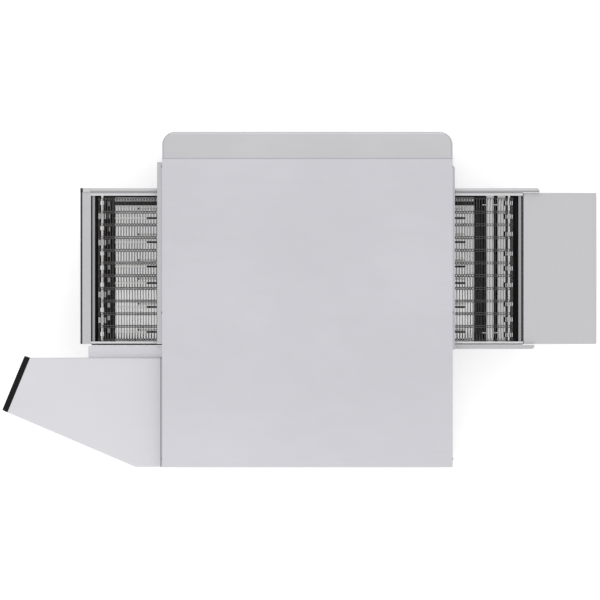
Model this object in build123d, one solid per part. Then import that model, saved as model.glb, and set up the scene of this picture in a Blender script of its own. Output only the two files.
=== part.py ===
from build123d import *
import math
import os

os.makedirs("parts", exist_ok=True)

# All lengths are in mm. X runs along the belt with the infeed on the +X side.
# The machine's front is on the -Y side. Z is up from the floor under the feet.

# Sheet metal
sheet = 1.5
bend = 3.0
seat_gap = 0.3
cut_over = 1.0

# Main housing
body_exit_x = -546.0
body_infeed_x = 490.0
body_rear_y = 598.0
body_bottom_z = 60.0
body_top_z = 520.0

# Front hood
hood_front_y = -598.0
hood_rear_y = -504.0
hood_corner_r = 46.0
hood_top_fall = 9.0
hood_edge_r = 8.0
window_width = 560.0
window_height = 130.0
window_middle_x = -28.0
window_middle_z = 345.0
window_depth = 6.0
window_corner_r = 14.0

# Wire belt
wire = 2.3
link_pitch = 9.75
run_links = 149
belt_front_y = -357.4
column_step = 45.36
column_count = 12
column_width = 4.6
edge_out = 7.0
edge_in = 4.0
link_depth = 1.2
belt_top_z = 300.0
belt_rear_y = belt_front_y + column_step * (column_count - 1)

# Shafts, sprockets and bearings
exit_shaft_past_body = 202.0
exit_shaft_x = body_exit_x - exit_shaft_past_body
infeed_shaft_x = exit_shaft_x + link_pitch * run_links
shaft_flats = 12.0
journal_r = 5.0
teeth = 8
tooth_height = 1.6
tooth_root_half = 0.2
tooth_tip_half = 0.1
exit_sprocket_width = 15.0
infeed_sprocket_width = 20.0
disc_width = 15.0
bore_gap = 0.05
bearing_side = 30.0
bearing_width = 6.0

# Places across the belt, counted in link columns from the front edge
exit_sprocket_columns = [0.285, 1.35, 2.725, 4.265, 5.43, 6.735, 8.235, 9.45, 10.66]
infeed_sprocket_columns = [1.315, 3.395, 7.485, 9.51]
infeed_disc_columns = [0.26, 2.25, 4.23, 5.375, 6.71, 8.69, 10.595]
upper_rod_columns = [1.465, 3.355, 5.28, 6.58, 8.47, 10.435]
lower_rod_columns = [0.715, 2.745, 4.77, 6.24, 8.21, 10.255]

# Conveyor frame
front_belt_room = 22.6
rear_belt_room = 15.44
infeed_end_room = 40.25
exit_end_room = 50.0
rail_above_belt = 8.0
rail_below_belt = 60.0
front_flange = 9.0
rear_flange = 7.0
pan_ledge = 14.0
foot_flange = 2.7
nose_reach = 38.0
nose_overhang = 3.0
nose_rear_overhang = 2.0
tray_overhang = 1.0
nose_corner_r = 9.0
infeed_bar_offset = 26.25
infeed_bar_width = 9.0
exit_bar_offset = 34.0
exit_bar_width = 10.0
cross_bar_height = 12.0
cross_bar_drop = 6.0
front_rail_y = belt_front_y - front_belt_room
rear_rail_y = belt_rear_y + rear_belt_room
rail_infeed_x = infeed_shaft_x + infeed_end_room
rail_exit_x = exit_shaft_x - exit_end_room
rail_top_z = belt_top_z + rail_above_belt
rail_bottom_z = belt_top_z - rail_below_belt

# Guards beside the conveyor
guard_width = 15.0
guard_gap = 3.0
guard_above_rail = 10.0
guard_above_rail_foot = 12.0
guard_end_r = 11.0
guard_edge_r = 6.0
front_guard_past_rail = 59.0
guard_cap_length = 8.5
rear_guard_gap = 5.0
rear_guard_past_rail = 41.0
guard_top_z = rail_top_z + guard_above_rail
guard_bottom_z = rail_bottom_z + guard_above_rail_foot
front_guard_y = front_rail_y - guard_gap
rear_guard_y = rear_rail_y + rear_guard_gap

# Exit tray
tray_length = 262.7
tray_drop = 8.0
tray_rim = 24.0
tray_corner_r = 5.0

# Rods and cross members that carry the belt
rod_side = 6.0
upper_rod_past_exit = 47.0
upper_rod_past_infeed = 176.0
lower_rod_past_exit = 43.0
lower_rod_past_infeed = 87.0
rod_carrier_count = 4
rod_carrier_inset = 50.0
rod_carrier_width = 4.0
rod_carrier_height = 10.0
slider_offset = 68.0
slider_width = 31.0
slider_height = 12.0
slider_corner_r = 5.0
exit_plate_near = 12.5
exit_plate_far = 41.0
exit_plate_drop = 8.0
wheel_notch = 4.0
wheel_side_gap = 2.0

# Bottom pans and the raised crumb trays on them, outside the chamber
pan_inside_mouth = 40.0
infeed_crumb_gap = 45.75
exit_crumb_gap = 124.0
crumb_tray_rim = 4.0
crumb_front_gap = 43.5

# Baking chamber and the mouths at its two ends
chamber_front_gap = 4.0
chamber_rear_room = 27.0
chamber_floor_drop = 40.0
chamber_roof_drop = 100.0
mouth_lip = 18.0
mouth_rear_gap = 3.0
chamber_front_y = front_guard_y - guard_width - chamber_front_gap
chamber_rear_y = rear_rail_y + chamber_rear_room
chamber_floor_z = rail_bottom_z - chamber_floor_drop
chamber_roof_z = body_top_z - chamber_roof_drop
mouth_top_z = chamber_roof_z - mouth_lip

# Air fingers above and below the belt
finger_count = 4
finger_width = 190.0
finger_spacing = 250.0
finger_root_depth = 42.0
finger_tip_depth = 24.0
lower_finger_root_depth = 34.0
lower_finger_tip_depth = 20.0

# Baffles over the two mouths
baffle_lift = 2.0
baffle_height = 52.0
infeed_baffle_past_front = 88.0
infeed_baffle_past_rear = 2.0
infeed_baffle_reach = 18.0
exit_baffle_past_front = 70.0
exit_baffle_past_rear = 21.0
exit_baffle_reach = 8.0
baffle_bottom_z = mouth_top_z + baffle_lift
baffle_top_z = baffle_bottom_z + baffle_height

# Ventilation slots
louvre_count = 10
louvre_length = 210.0
louvre_height = 7.0
louvre_step = 24.0
louvre_above_bottom = 70.0
side_louvre_inset = 198.0
rear_louvre_offset_x = 250.0

# Feet
foot_pad_r = 32.0
foot_pad_height = 14.0
foot_stem_flats = 27.0
foot_inset = 85.0

# Control box on the infeed side and the low cover before it
cover_past_rail = 9.0
cover_gap = 9.0
cover_width = 42.0
cover_drop = 12.0
cover_height = 46.0
box_above_bottom = 70.0
box_below_top = 90.0
box_front_reach = 473.7
box_side_run_x = 80.3
box_side_run_y = 194.0
box_rear_reach = 95.7
box_corner_r = 5.0
bezel_depth = 11.5
panel_depth = 7.0
panel_inset = 1.0
panel_bottom_margin = 12.0
cover_front_y = rear_rail_y + cover_gap
box_front_y = cover_front_y + cover_width
box_bottom_z = body_bottom_z + box_above_bottom
box_top_z = body_top_z - box_below_top


def slab(x0, x1, y0, y1, z0, z1):
    middle = Pos((x0 + x1) / 2, (y0 + y1) / 2, (z0 + z1) / 2)
    return middle * Box(abs(x1 - x0), abs(y1 - y0), abs(z1 - z0))


def save(node, *solids):
    shape = solids[0] if len(solids) == 1 else Compound(children=list(solids))
    export_step(shape, f"parts/{node}.step")


def profile_along_x(points, x0, x1):
    face = make_face(Plane.YZ * Polyline(*points, close=True))
    return Pos(x0, 0, 0) * extrude(face, x1 - x0, dir=(1, 0, 0))


def cylinder_along_y(x, z, y0, y1, radius):
    return Pos(x, (y0 + y1) / 2, z) * Rot(90, 0, 0) * Cylinder(radius, y1 - y0)


# Housing blocks round the baking chamber
core_exit_x = body_exit_x + sheet
core_infeed_x = body_infeed_x - sheet
core_rear_y = body_rear_y - sheet
core_top_z = body_top_z - sheet
save(
    "lower_housing",
    slab(core_exit_x, core_infeed_x, hood_rear_y, core_rear_y, body_bottom_z, chamber_floor_z),
)
save(
    "upper_housing",
    slab(core_exit_x, core_infeed_x, hood_rear_y, core_rear_y, chamber_roof_z, core_top_z),
)
save(
    "front_wall",
    slab(
        core_exit_x, core_infeed_x, hood_rear_y, chamber_front_y, chamber_floor_z, chamber_roof_z
    ),
)
save(
    "rear_compartment",
    slab(core_exit_x, core_infeed_x, chamber_rear_y, core_rear_y, chamber_floor_z, chamber_roof_z),
)

# Top cover
cover_plate = slab(body_exit_x, body_infeed_x, hood_rear_y, body_rear_y, core_top_z, body_top_z)
top_rim = cover_plate.edges().filter_by(Axis.Z)
top_cover = fillet(top_rim.group_by(Axis.Y)[-1], bend)
save("top_cover", top_cover)


def louvres(slot):
    low_z = body_bottom_z + louvre_above_bottom
    return [Pos(0, 0, low_z + louvre_step * i) * slot for i in range(louvre_count)]


# Side panels with the mouths and the ventilation slots
def side_panel(x0, x1):
    panel = slab(x0, x1, hood_rear_y, body_rear_y, body_bottom_z, core_top_z)
    mouth_rear_y = rear_rail_y + mouth_rear_gap
    mouth = slab(
        x0 - cut_over,
        x1 + cut_over,
        chamber_front_y,
        mouth_rear_y,
        rail_bottom_z,
        mouth_top_z,
    )
    slot = Pos((x0 + x1) / 2, body_rear_y - side_louvre_inset, 0) * Box(
        2 * sheet + cut_over, louvre_length, louvre_height
    )
    return panel - mouth - louvres(slot)


save("infeed_side_panel", side_panel(core_infeed_x, body_infeed_x))
save("exit_side_panel", side_panel(body_exit_x, core_exit_x))

# Rear panel
rear_panel = slab(
    core_exit_x, core_infeed_x, core_rear_y, body_rear_y, body_bottom_z, core_top_z
)
body_middle_x = (body_exit_x + body_infeed_x) / 2
for side in (-1, 1):
    slot = Pos(body_middle_x + side * rear_louvre_offset_x, body_rear_y - sheet / 2, 0) * Box(
        louvre_length, 2 * sheet + cut_over, louvre_height
    )
    rear_panel = rear_panel - louvres(slot)
save("rear_panel", rear_panel)

# Front hood with rounded corners, a falling top and the window recess
hood = slab(body_exit_x, body_infeed_x, hood_front_y, hood_rear_y, body_bottom_z, body_top_z)
hood = fillet(hood.edges().filter_by(Axis.Z).group_by(Axis.Y)[0], hood_corner_r)
fall = profile_along_x(
    [
        (hood_front_y - cut_over, body_top_z - hood_top_fall),
        (hood_rear_y, body_top_z),
        (hood_rear_y, body_top_z + hood_top_fall),
        (hood_front_y - cut_over, body_top_z + hood_top_fall),
    ],
    body_exit_x - cut_over,
    body_infeed_x + cut_over,
)
hood = hood - fall
brow = hood.faces().sort_by(Axis.Z)[-1].edges().sort_by(Axis.Y)[0]
hood = fillet(brow, hood_edge_r)


def window_block(clearance, y0, y1):
    face = Plane((window_middle_x, y1, window_middle_z), x_dir=(1, 0, 0), z_dir=(0, -1, 0))
    outline = RectangleRounded(
        window_width - 2 * clearance, window_height - 2 * clearance, window_corner_r
    )
    return extrude(face * outline, y1 - y0)


hood = hood - window_block(0.0, hood_front_y - cut_over, hood_front_y + window_depth)
save("front_hood", hood)
save("front_window", window_block(seat_gap, hood_front_y, hood_front_y + window_depth))


# Thin open boxes folded from sheet
def folded_box(x0, x1, y0, y1, z0, z1, open_side, corner_pick=None, corner_r=0.0):
    outer = slab(x0, x1, y0, y1, z0, z1)
    inner_size = [x0 + sheet, x1 - sheet, y0 + sheet, y1 - sheet, z0 + sheet, z1 - sheet]
    open_faces = {
        "-x": (0, x0 - cut_over),
        "+x": (1, x1 + cut_over),
        "-y": (2, y0 - cut_over),
        "+y": (3, y1 + cut_over),
        "-z": (4, z0 - cut_over),
    }
    place, value = open_faces[open_side]
    inner_size[place] = value
    inner = slab(*inner_size)
    if corner_pick:
        outer = fillet(corner_pick(outer), corner_r)
        inner = fillet(corner_pick(inner), corner_r - sheet)
    return outer - inner


# Baffles over the mouths
save(
    "infeed_baffle",
    folded_box(
        body_infeed_x,
        body_infeed_x + infeed_baffle_reach,
        chamber_front_y - infeed_baffle_past_front,
        rear_rail_y + infeed_baffle_past_rear,
        baffle_bottom_z,
        baffle_top_z,
        "-x",
    ),
)
save(
    "exit_baffle",
    folded_box(
        body_exit_x - exit_baffle_reach,
        body_exit_x,
        chamber_front_y - exit_baffle_past_front,
        rear_rail_y + exit_baffle_past_rear,
        baffle_bottom_z,
        baffle_top_z,
        "+x",
    ),
)


# Tapered air fingers
def fingers(points):
    first_x = body_middle_x - finger_spacing * (finger_count - 1) / 2
    starts = [first_x + finger_spacing * i - finger_width / 2 for i in range(finger_count)]
    return [profile_along_x(points, x, x + finger_width) for x in starts]


save(
    "upper_air_fingers",
    *fingers(
        [
            (chamber_rear_y, chamber_roof_z),
            (chamber_rear_y, chamber_roof_z - finger_root_depth),
            (chamber_front_y + sheet, chamber_roof_z - finger_tip_depth),
            (chamber_front_y + sheet, chamber_roof_z),
        ]
    ),
)
save(
    "lower_air_fingers",
    *fingers(
        [
            (chamber_rear_y, chamber_floor_z),
            (chamber_rear_y, chamber_floor_z + lower_finger_root_depth),
            (chamber_front_y + sheet, chamber_floor_z + lower_finger_tip_depth),
            (chamber_front_y + sheet, chamber_floor_z),
        ]
    ),
)

# Feet
foot = Pos(0, 0, foot_pad_height / 2) * Cylinder(foot_pad_r, foot_pad_height)
stem = RegularPolygon(foot_stem_flats / 2, 6, major_radius=False)
foot = foot + Pos(0, 0, foot_pad_height) * extrude(stem, body_bottom_z - foot_pad_height)
foot_x = [body_exit_x + foot_inset, body_infeed_x - foot_inset]
foot_y = [hood_rear_y + foot_inset, body_rear_y - foot_inset]
save("feet", *[Pos(x, y, 0) * foot for x in foot_x for y in foot_y])


# Conveyor side rails, folded channels that open toward the belt, with a small foot outside
def rail(y_out, toward, flange):
    web = y_out + toward * sheet
    foot = y_out - toward * foot_flange
    points = [
        (foot, rail_bottom_z),
        (foot, rail_bottom_z + sheet),
        (y_out, rail_bottom_z + sheet),
        (y_out, rail_top_z),
        (y_out + toward * flange, rail_top_z),
        (y_out + toward * flange, rail_top_z - sheet),
        (web, rail_top_z - sheet),
        (web, rail_bottom_z + sheet),
        (y_out + toward * pan_ledge, rail_bottom_z + sheet),
        (y_out + toward * pan_ledge, rail_bottom_z),
    ]
    return profile_along_x(points, rail_exit_x, rail_infeed_x)


save("front_side_rail", rail(front_rail_y, 1, front_flange))
save("rear_side_rail", rail(rear_rail_y, -1, rear_flange))
front_web_y = front_rail_y + sheet
rear_web_y = rear_rail_y - sheet

# Nose across the infeed end of the conveyor
nose = slab(
    rail_infeed_x,
    rail_infeed_x + nose_reach,
    front_rail_y - nose_overhang,
    rear_rail_y + nose_rear_overhang,
    rail_bottom_z,
    rail_top_z,
)
nose = fillet(nose.edges().filter_by(Axis.Y).group_by(Axis.X)[-1], nose_corner_r)
save("infeed_nose", nose)

# Guards, folded sheet with a rounded outer edge and exit end
front_guard_infeed_x = rail_infeed_x + nose_reach - guard_cap_length


def guard(x0, x1, outer_y, inner_y):
    side = 1 if inner_y > outer_y else -1
    skins = []
    for skin, past in ((0.0, 0.0), (sheet, cut_over)):
        block = slab(
            x0 + skin,
            x1 - skin,
            outer_y + side * skin,
            inner_y + side * past,
            guard_bottom_z + skin,
            guard_top_z - skin,
        )
        outer_first = Axis.Y if side > 0 else -Axis.Y
        exit_end = block.edges().filter_by(Axis.Z).group_by(Axis.X)[0]
        block = fillet(exit_end.sort_by(outer_first)[0], guard_end_r - skin)
        top_edges = block.faces().sort_by(Axis.Z)[-1].edges().filter_by(Axis.X)
        skins.append(fillet(top_edges.sort_by(outer_first)[0], guard_edge_r - skin))
    return skins[0] - skins[1]


save(
    "front_guard",
    guard(
        rail_exit_x - front_guard_past_rail,
        front_guard_infeed_x,
        front_guard_y - guard_width,
        front_guard_y,
    ),
)
save(
    "guard_end_cap",
    slab(
        front_guard_infeed_x,
        front_guard_infeed_x + guard_cap_length,
        front_guard_y - guard_width,
        front_guard_y,
        guard_bottom_z,
        guard_top_z,
    ),
)
save(
    "exit_rear_guard",
    guard(
        rail_exit_x - rear_guard_past_rail,
        body_exit_x,
        rear_guard_y + guard_width,
        rear_guard_y,
    ),
)


# Exit tray, a shallow pan turned upside down
def tray_corners(shape):
    return shape.edges().filter_by(Axis.Z).group_by(Axis.X)[0]


tray_top_z = belt_top_z - tray_drop
save(
    "exit_tray",
    folded_box(
        rail_exit_x - tray_length,
        rail_exit_x,
        front_rail_y - tray_overhang,
        rear_rail_y + nose_rear_overhang,
        tray_top_z - tray_rim,
        tray_top_z,
        "-z",
        tray_corners,
        tray_corner_r,
    ),
)

# Belt loop: two level runs between two equal wheels
wire_z = belt_top_z - wire / 2
pitch_r = link_pitch / 2 / math.sin(math.pi / teeth)
shaft_z = wire_z - pitch_r
return_z = wire_z - 2 * pitch_r
run_length = link_pitch * run_links
run_middle_x = exit_shaft_x + run_length / 2
belt_middle_y = (belt_front_y + belt_rear_y) / 2
column_span = belt_rear_y - belt_front_y
belt_width = column_span + 2 * edge_out
edge_width = edge_out + edge_in
column_y = [belt_front_y + column_step * i for i in range(column_count)]
edge_offset = (edge_in - edge_out) / 2
edge_y = [belt_front_y + edge_offset, belt_rear_y - edge_offset]


def window(middle_x, size_x, size_y):
    x0, x1, y1 = middle_x - size_x / 2, middle_x + size_x / 2, size_y / 2
    return Wire.make_polygon([(x0, -y1), (x1, -y1), (x1, y1), (x0, y1)])


# One straight run: the cross wires and the two looped edges as one flat lattice
def belt_run(z):
    outer = window(0.0, run_length + wire, belt_width)
    first = (link_pitch - run_length) / 2
    cell = (link_pitch - wire, column_span - 2 * edge_in)
    cells = [window(first + link_pitch * i, *cell) for i in range(run_links)]
    lattice = extrude(Face(outer, cells), wire, dir=(0, 0, 1))
    return Pos(run_middle_x, belt_middle_y, z - wire / 2) * lattice


save("belt_top_run", belt_run(wire_z))
save("belt_return_run", belt_run(return_z))


# The belt's bend round a wheel: a polygon of as many sides as teeth
def bend_ring(x, y, width, outer_r, inner_r, side):
    turned = Plane((x, y - width / 2, shaft_z), x_dir=(1, 0, 0), z_dir=(0, -1, 0)).offset(-width)
    ring = RegularPolygon(outer_r, teeth) - RegularPolygon(inner_r, teeth)
    band = extrude(turned * ring, width)
    reach = outer_r + cut_over
    start = x + side * (wire / 2 + seat_gap)
    keep = slab(start, x + side * reach, y - width, y + width, shaft_z - reach, shaft_z + reach)
    return band & keep


def bend_wires(x, side):
    bars = []
    for i in range(1, teeth // 2):
        angle = math.radians(90 - side * 360 / teeth * i)
        place = Pos(
            x + pitch_r * math.cos(angle), belt_middle_y, shaft_z + pitch_r * math.sin(angle)
        )
        bars.append(place * Rot(0, -math.degrees(angle), 0) * Box(wire, belt_width, wire))
    return bars


def belt_bend(x, side):
    half = wire / 2
    edges = [bend_ring(x, y, edge_width, pitch_r + half, pitch_r - half, side) for y in edge_y]
    shape = edges[0] + edges[1]
    for bar in bend_wires(x, side):
        shape = shape + bar
    return shape


save("belt_infeed_bend", belt_bend(infeed_shaft_x, 1))
save("belt_exit_bend", belt_bend(exit_shaft_x, -1))

# Link columns, plain strips on the belt's inner side
link_outer_r = pitch_r - wire / 2
link_offset = wire / 2 + link_depth / 2
link_strips = []
for y in column_y[1:-1]:
    strip = Pos(run_middle_x, y, 0) * Box(run_length, column_width, link_depth)
    link_strips.append(Pos(0, 0, wire_z - link_offset) * strip)
    link_strips.append(Pos(0, 0, return_z + link_offset) * strip)
    for x, side in ((infeed_shaft_x, 1), (exit_shaft_x, -1)):
        inner_r = link_outer_r - link_depth
        link_strips.append(bend_ring(x, y, column_width, link_outer_r, inner_r, side))
save("belt_links", *link_strips)


# Sprockets and plain discs slide onto six-sided shafts
def hub_bore():
    return RegularPolygon(shaft_flats / 2 + bore_gap, 6, major_radius=False)


def wheel(outline, width):
    return Rot(90, 0, 0) * Pos(0, 0, -width / 2) * extrude(outline - hub_bore(), width)


def sprocket(width):
    rim_r = pitch_r - wire / 2 - seat_gap
    tip_r = pitch_r + tooth_height
    root = tooth_root_half * link_pitch / rim_r
    tip = tooth_tip_half * link_pitch / tip_r
    points = []
    for i in range(teeth):
        middle = math.radians(90 + 360 / teeth * (i + 0.5))
        for radius, offset in ((rim_r, -root), (tip_r, -tip), (tip_r, tip), (rim_r, root)):
            angle = middle + offset
            points.append((radius * math.cos(angle), radius * math.sin(angle)))
    return wheel(make_face(Polyline(*points, close=True)), width)


def across(columns):
    return [belt_front_y + column_step * c for c in columns]


def on_shaft(shape, x, columns):
    return [Pos(x, y, shaft_z) * shape for y in across(columns)]


infeed_disc = wheel(Circle(pitch_r - wire / 2 - seat_gap), disc_width)
exit_sprocket = sprocket(exit_sprocket_width)
infeed_sprocket = sprocket(infeed_sprocket_width)
save("exit_sprockets", *on_shaft(exit_sprocket, exit_shaft_x, exit_sprocket_columns))
save("infeed_sprockets", *on_shaft(infeed_sprocket, infeed_shaft_x, infeed_sprocket_columns))
save("infeed_discs", *on_shaft(infeed_disc, infeed_shaft_x, infeed_disc_columns))

# Shafts and their bearings on the rails
shaft_front_y = front_web_y + seat_gap
shaft_rear_y = rear_web_y - seat_gap
hub_front_y = front_web_y + bearing_width + seat_gap
hub_rear_y = rear_web_y - bearing_width - seat_gap
bearings = []
for node, x in (("exit_shaft", exit_shaft_x), ("infeed_shaft", infeed_shaft_x)):
    journal = cylinder_along_y(x, shaft_z, shaft_front_y, shaft_rear_y, journal_r)
    flats = extrude(
        RegularPolygon(shaft_flats / 2, 6, major_radius=False), hub_rear_y - hub_front_y
    )
    save(node, journal + Pos(x, hub_rear_y, shaft_z) * Rot(90, 0, 0) * flats)
    for y0 in (front_web_y, rear_web_y - bearing_width):
        y1 = y0 + bearing_width
        half = bearing_side / 2
        block = slab(x - half, x + half, y0, y1, shaft_z - half, shaft_z + half)
        bore = cylinder_along_y(x, shaft_z, y0 - cut_over, y1 + cut_over, journal_r + bore_gap)
        bearings.append(block - bore)
save("shaft_bearings", *bearings)


# Cross bars between the rails
def between_rails(x0, x1, z0, z1):
    return slab(x0, x1, front_web_y, rear_web_y, z0, z1)


bar_top_z = belt_top_z - cross_bar_drop
infeed_bar_x = infeed_shaft_x + infeed_bar_offset
exit_bar_x = exit_shaft_x - exit_bar_offset
save(
    "cross_bars",
    between_rails(
        infeed_bar_x, infeed_bar_x + infeed_bar_width, bar_top_z - cross_bar_height, bar_top_z
    ),
    between_rails(exit_bar_x - exit_bar_width, exit_bar_x, bar_top_z - cross_bar_height, bar_top_z),
)

# Slider that carries the belt near the exit shaft
slider_top_z = belt_top_z - wire - link_depth - seat_gap
slider_x = exit_shaft_x + slider_offset
slider = between_rails(
    slider_x - slider_width / 2,
    slider_x + slider_width / 2,
    slider_top_z - slider_height,
    slider_top_z,
)
slider = fillet(slider.edges().filter_by(Axis.Y).group_by(Axis.Z)[-1], slider_corner_r)
save("belt_slider", slider)

# Plate beside the exit wheels, with a notch for each of them
exit_plate_x = exit_shaft_x + exit_plate_near
exit_plate_z = slider_top_z - exit_plate_drop
exit_plate = between_rails(
    exit_plate_x,
    exit_shaft_x + exit_plate_far,
    exit_plate_z - 2 * sheet,
    exit_plate_z,
)
notch_half = exit_sprocket_width / 2 + wheel_side_gap
notch_x = exit_shaft_x + pitch_r + tooth_height + wheel_notch
for y in across(exit_sprocket_columns):
    exit_plate = exit_plate - slab(
        exit_plate_x - cut_over,
        notch_x,
        y - notch_half,
        y + notch_half,
        exit_plate_z - 2 * sheet - cut_over,
        exit_plate_z + cut_over,
    )
save("exit_plate", exit_plate)


# Rods under both runs and the bars that carry them
def rods(past_exit, past_infeed, top_z, columns):
    x0, x1 = body_exit_x - past_exit, body_infeed_x + past_infeed
    half = rod_side / 2
    return [slab(x0, x1, y - half, y + half, top_z - rod_side, top_z) for y in across(columns)]


upper_rod_top_z = wire_z - wire / 2
lower_rod_top_z = return_z - wire / 2
save(
    "upper_belt_rods",
    *rods(upper_rod_past_exit, upper_rod_past_infeed, upper_rod_top_z, upper_rod_columns),
)
save(
    "lower_belt_rods",
    *rods(lower_rod_past_exit, lower_rod_past_infeed, lower_rod_top_z, lower_rod_columns),
)
carriers = []
carrier_step = (body_infeed_x - body_exit_x - 2 * rod_carrier_inset) / (rod_carrier_count - 1)
for i in range(rod_carrier_count):
    x = body_exit_x + rod_carrier_inset + carrier_step * i
    half = rod_carrier_width / 2
    for rod_top_z in (upper_rod_top_z, lower_rod_top_z):
        top = rod_top_z - rod_side
        carriers.append(between_rails(x - half, x + half, top - rod_carrier_height, top))
save("rod_carriers", *carriers)


# Bottom pans on the rail ledges, and the crumb trays that stand on them
pan_top_z = rail_bottom_z + 2 * sheet


def pan(x0, x1):
    return slab(
        x0, x1, front_web_y + seat_gap, rear_web_y - seat_gap, pan_top_z - sheet, pan_top_z
    )


def crumb_tray(x0, x1):
    front_y = front_rail_y + crumb_front_gap
    rear_y = rear_rail_y - rear_flange
    return folded_box(x0, x1, front_y, rear_y, pan_top_z, pan_top_z + crumb_tray_rim, "-z")


infeed_pan_x = body_infeed_x - pan_inside_mouth
exit_pan_x = body_exit_x + pan_inside_mouth
save("bottom_pans", pan(infeed_pan_x, rail_infeed_x), pan(rail_exit_x, exit_pan_x))
save("infeed_crumb_tray", crumb_tray(infeed_pan_x, infeed_shaft_x - infeed_crumb_gap))
save("exit_crumb_tray", crumb_tray(exit_shaft_x + exit_crumb_gap, exit_pan_x))

# Control box with its angled face toward the operator
near = (body_infeed_x + box_front_reach, box_front_y)
far = (near[0] + box_side_run_x, near[1] + box_side_run_y)
box_outline = [
    (body_infeed_x, box_front_y),
    near,
    far,
    (body_infeed_x + box_rear_reach, body_rear_y),
    (body_infeed_x, body_rear_y),
]
box_face = make_face(Polyline(*box_outline, close=True))
control_box = Pos(0, 0, box_bottom_z) * extrude(
    box_face, box_top_z - box_bottom_z, dir=(0, 0, 1)
)
box_top_edges = control_box.faces().sort_by(Axis.Z)[-1].edges()
control_box = fillet(box_top_edges, bend)
save("control_box", control_box)

# Black panel and its bezel on the angled face
face_length = math.hypot(box_side_run_x, box_side_run_y)
face_turn = math.degrees(math.atan2(box_side_run_y, box_side_run_x))
face_plane = Plane(
    (near[0], near[1], box_bottom_z),
    x_dir=(math.cos(math.radians(face_turn)), math.sin(math.radians(face_turn)), 0),
    z_dir=(math.sin(math.radians(face_turn)), -math.cos(math.radians(face_turn)), 0),
)
face_height = box_top_z - box_bottom_z


def face_block(inset, near_depth, far_depth):
    width = face_length - 2 * inset
    height = face_height - panel_bottom_margin - 2 * inset
    middle = Pos(face_length / 2, (face_height + panel_bottom_margin) / 2 - bend, 0)
    outline = face_plane.offset(near_depth) * middle * RectangleRounded(width, height, box_corner_r)
    return extrude(outline, far_depth - near_depth)


save("control_bezel", face_block(0.0, 0.0, bezel_depth))
save("control_panel", face_block(panel_inset, bezel_depth, bezel_depth + panel_depth))

# Low cover between the conveyor and the control box
cover_top_z = rail_top_z - cover_drop
save(
    "drive_cover",
    folded_box(
        body_infeed_x,
        rail_infeed_x + cover_past_rail,
        cover_front_y,
        box_front_y,
        cover_top_z - cover_height,
        cover_top_z,
        "-z",
    ),
)
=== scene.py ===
import math

import bmesh
import bpy
from mathutils import Color, Matrix, Vector


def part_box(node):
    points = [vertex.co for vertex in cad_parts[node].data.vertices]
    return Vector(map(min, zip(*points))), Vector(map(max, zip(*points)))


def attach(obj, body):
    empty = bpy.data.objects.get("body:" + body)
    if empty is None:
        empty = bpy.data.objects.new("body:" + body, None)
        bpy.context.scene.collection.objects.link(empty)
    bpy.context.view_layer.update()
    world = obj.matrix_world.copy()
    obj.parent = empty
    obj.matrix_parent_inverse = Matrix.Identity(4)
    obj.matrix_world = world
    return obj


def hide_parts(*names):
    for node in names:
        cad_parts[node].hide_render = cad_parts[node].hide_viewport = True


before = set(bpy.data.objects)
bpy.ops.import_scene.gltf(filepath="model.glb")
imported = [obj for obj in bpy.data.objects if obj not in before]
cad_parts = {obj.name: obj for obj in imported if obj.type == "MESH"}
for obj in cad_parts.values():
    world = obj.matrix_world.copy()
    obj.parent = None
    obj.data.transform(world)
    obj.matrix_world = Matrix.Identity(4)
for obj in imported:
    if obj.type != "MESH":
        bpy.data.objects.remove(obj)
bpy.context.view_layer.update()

MM = 0.001
UP = Vector((0, 0, 1))
X_AXIS, Y_AXIS = 0, 1


# Places read from the frame
body_low, body_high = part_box("top_cover")
run_low, run_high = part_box("belt_top_run")
rear_rail_low, rear_rail_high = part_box("rear_side_rail")
guard_low, guard_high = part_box("front_guard")
slider_low, slider_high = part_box("belt_slider")
tray_low, tray_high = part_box("exit_tray")
box_low, box_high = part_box("control_box")
bezel_low, bezel_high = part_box("control_bezel")
panel_low, panel_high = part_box("control_panel")
rod_low, rod_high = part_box("lower_belt_rods")
crumb_low, crumb_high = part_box("infeed_crumb_tray")
exit_crumb_low, exit_crumb_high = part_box("exit_crumb_tray")
pan_low, pan_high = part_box("bottom_pans")


def node_points(name):
    """The corners of a node's mesh, in the object's frame."""
    return [vertex.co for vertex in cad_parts[name].data.vertices]


# The belt's layout
WIRE = run_high.z - run_low.z
RUN_LINKS = 149
WHEEL_TEETH = 8
TOOTH_ANGLE = 2 * math.pi / WHEEL_TEETH
COLUMNS = 12
EDGE_OUT = 7 * MM
exit_shaft_x = run_low.x + WIRE / 2
infeed_shaft_x = run_high.x - WIRE / 2
pitch = (infeed_shaft_x - exit_shaft_x) / RUN_LINKS
first_column_y = run_low.y + EDGE_OUT
last_column_y = run_high.y - EDGE_OUT
column_step = (last_column_y - first_column_y) / (COLUMNS - 1)
column_y = [first_column_y + column_step * i for i in range(COLUMNS)]
wheel_radius = pitch / 2 / math.sin(TOOTH_ANGLE / 2)
wire_z = (run_low.z + run_high.z) / 2
wheel_z = wire_z - wheel_radius
return_z = wire_z - 2 * wheel_radius

# The control box's slanting face, and its corner behind it
FLUSH = 0.5 * MM
face_front = Vector((bezel_low.x, box_low.y, 0))
face_rear = Vector((box_high.x, bezel_high.y, 0))
face_run = face_rear - face_front
face_normal = Vector((face_run.y, -face_run.x, 0)).normalized()
panel_proud = max((point - face_front).dot(face_normal) for point in node_points("control_panel"))
box_rear_x = max(p.x for p in node_points("control_box") if p.y > box_high.y - FLUSH)


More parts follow.
